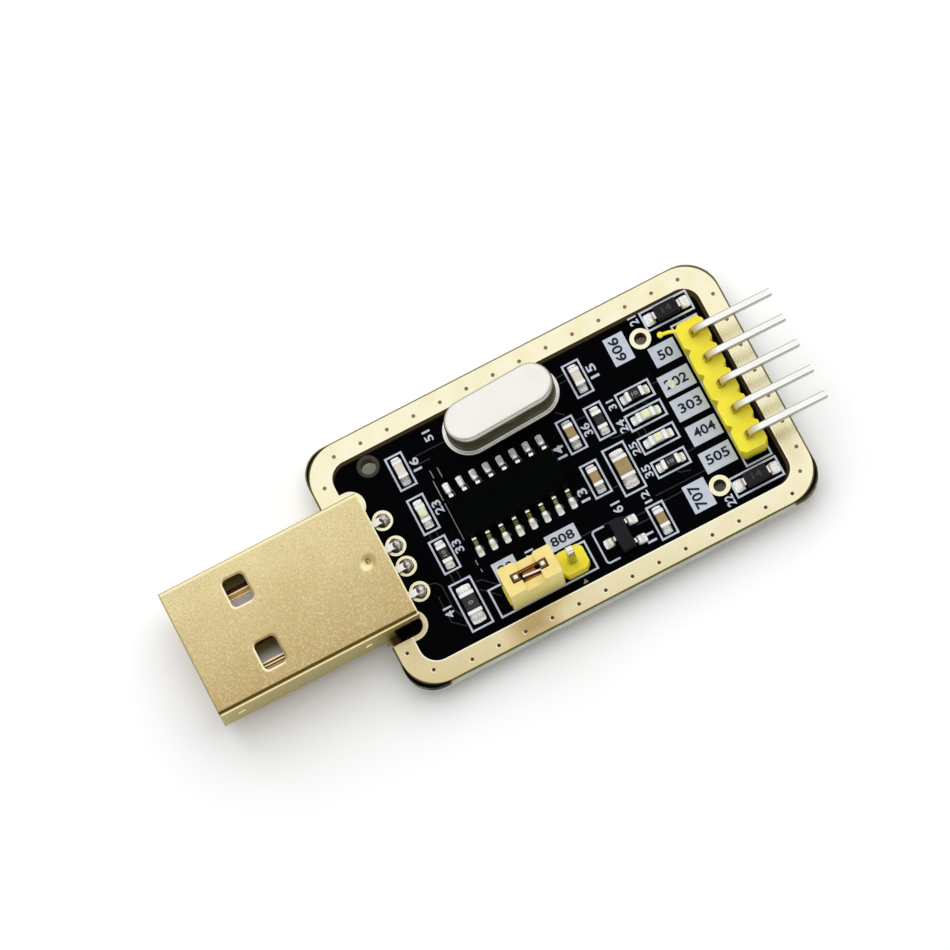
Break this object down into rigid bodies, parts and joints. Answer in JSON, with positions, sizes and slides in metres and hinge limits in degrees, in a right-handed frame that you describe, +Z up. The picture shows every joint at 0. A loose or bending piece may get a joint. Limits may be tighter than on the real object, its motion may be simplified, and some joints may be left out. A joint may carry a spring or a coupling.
{
  "type": "usb to serial adapter module",
  "caption": "Small black circuit board with a gold rim, an A-type plug at one end, a right-angle yellow pin header at the other, an oval crystal can, a chip and a pull-off jumper cap.",
  "frame": {"origin": "under the middle of the module's length and width, on the surface its solder tails stand on", "axes": "+X from the plug towards the header pins, +Z up from the component side of the board"},
  "size_m": [0.0582, 0.0234, 0.0084],
  "materials": {
    "board_mask": "gloss",
    "gold_plating": "satin",
    "white_ink": "matte",
    "shell_gold": "bead-blasted",
    "white_plastic": "gloss",
    "contact_gold": "polished",
    "solder": "bright",
    "tinned_metal": "bright",
    "crystal_metal": "satin",
    "black_moulding": "matte",
    "grey_moulding": "matte",
    "header_yellow": "gloss",
    "cap_yellow": "gloss",
    "spring_copper": "polished",
    "brown_ceramic": "matte",
    "cream_ceramic": "matte",
    "black_glaze": "gloss",
    "led_resin": "gloss"
  },
  "bodies": {
    "module": {"board": "board_mask", "bottom_copper": "gold_plating", "capacitor_1_body": "brown_ceramic", "capacitor_1_terminals": "tinned_metal", "capacitor_2_body": "brown_ceramic", "capacitor_2_terminals": "tinned_metal", "capacitor_3_body": "brown_ceramic", "capacitor_3_terminals": "tinned_metal", "capacitor_4_body": "brown_ceramic", "capacitor_4_terminals": "tinned_metal", "capacitor_5_body": "cream_ceramic", "capacitor_5_terminals": "tinned_metal", "capacitor_6_body": "cream_ceramic", "capacitor_6_terminals": "tinned_metal", "chip_body": "black_moulding", "chip_leads": "tinned_metal", "crystal_can": "crystal_metal", "crystal_leads": "tinned_metal", "diode_1_body": "black_moulding", "diode_1_leads": "tinned_metal", "diode_2_body": "black_moulding", "diode_2_leads": "tinned_metal", "fuse_link_body": "black_glaze", "fuse_link_terminals": "tinned_metal", "header_block": "header_yellow", "header_pins": "tinned_metal", "jumper_block": "header_yellow", "jumper_pins": "tinned_metal", "pad_solder": "solder", "power_led_body": "led_resin", "power_led_terminals": "tinned_metal", "receive_led_body": "led_resin", "receive_led_terminals": "tinned_metal", "regulator_body": "grey_moulding", "regulator_leads": "tinned_metal", "resistor_1_body": "black_glaze", "resistor_1_terminals": "tinned_metal", "resistor_3_body": "black_glaze", "resistor_3_terminals": "tinned_metal", "resistor_5_body": "black_glaze", "resistor_5_terminals": "tinned_metal", "resistor_6_body": "black_glaze", "resistor_6_terminals": "tinned_metal", "silkscreen": "white_ink", "through_hole_solder": "solder", "top_copper": "gold_plating", "transmit_led_body": "led_resin", "transmit_led_terminals": "tinned_metal", "usb_contact_1": "contact_gold", "usb_contact_2": "contact_gold", "usb_contact_3": "contact_gold", "usb_contact_4": "contact_gold", "usb_insulator": "white_plastic", "usb_shell": "shell_gold", "usb_solder": "solder"},
    "jumper": {"jumper_cap": "cap_yellow", "jumper_contact": "spring_copper"}
  },
  "joints": [
    {"name": "jumper_pull", "type": "slide", "parent": "module", "child": "jumper", "axis": [0, 0, 1], "range_m": [0, 0.0055]}
  ]
}
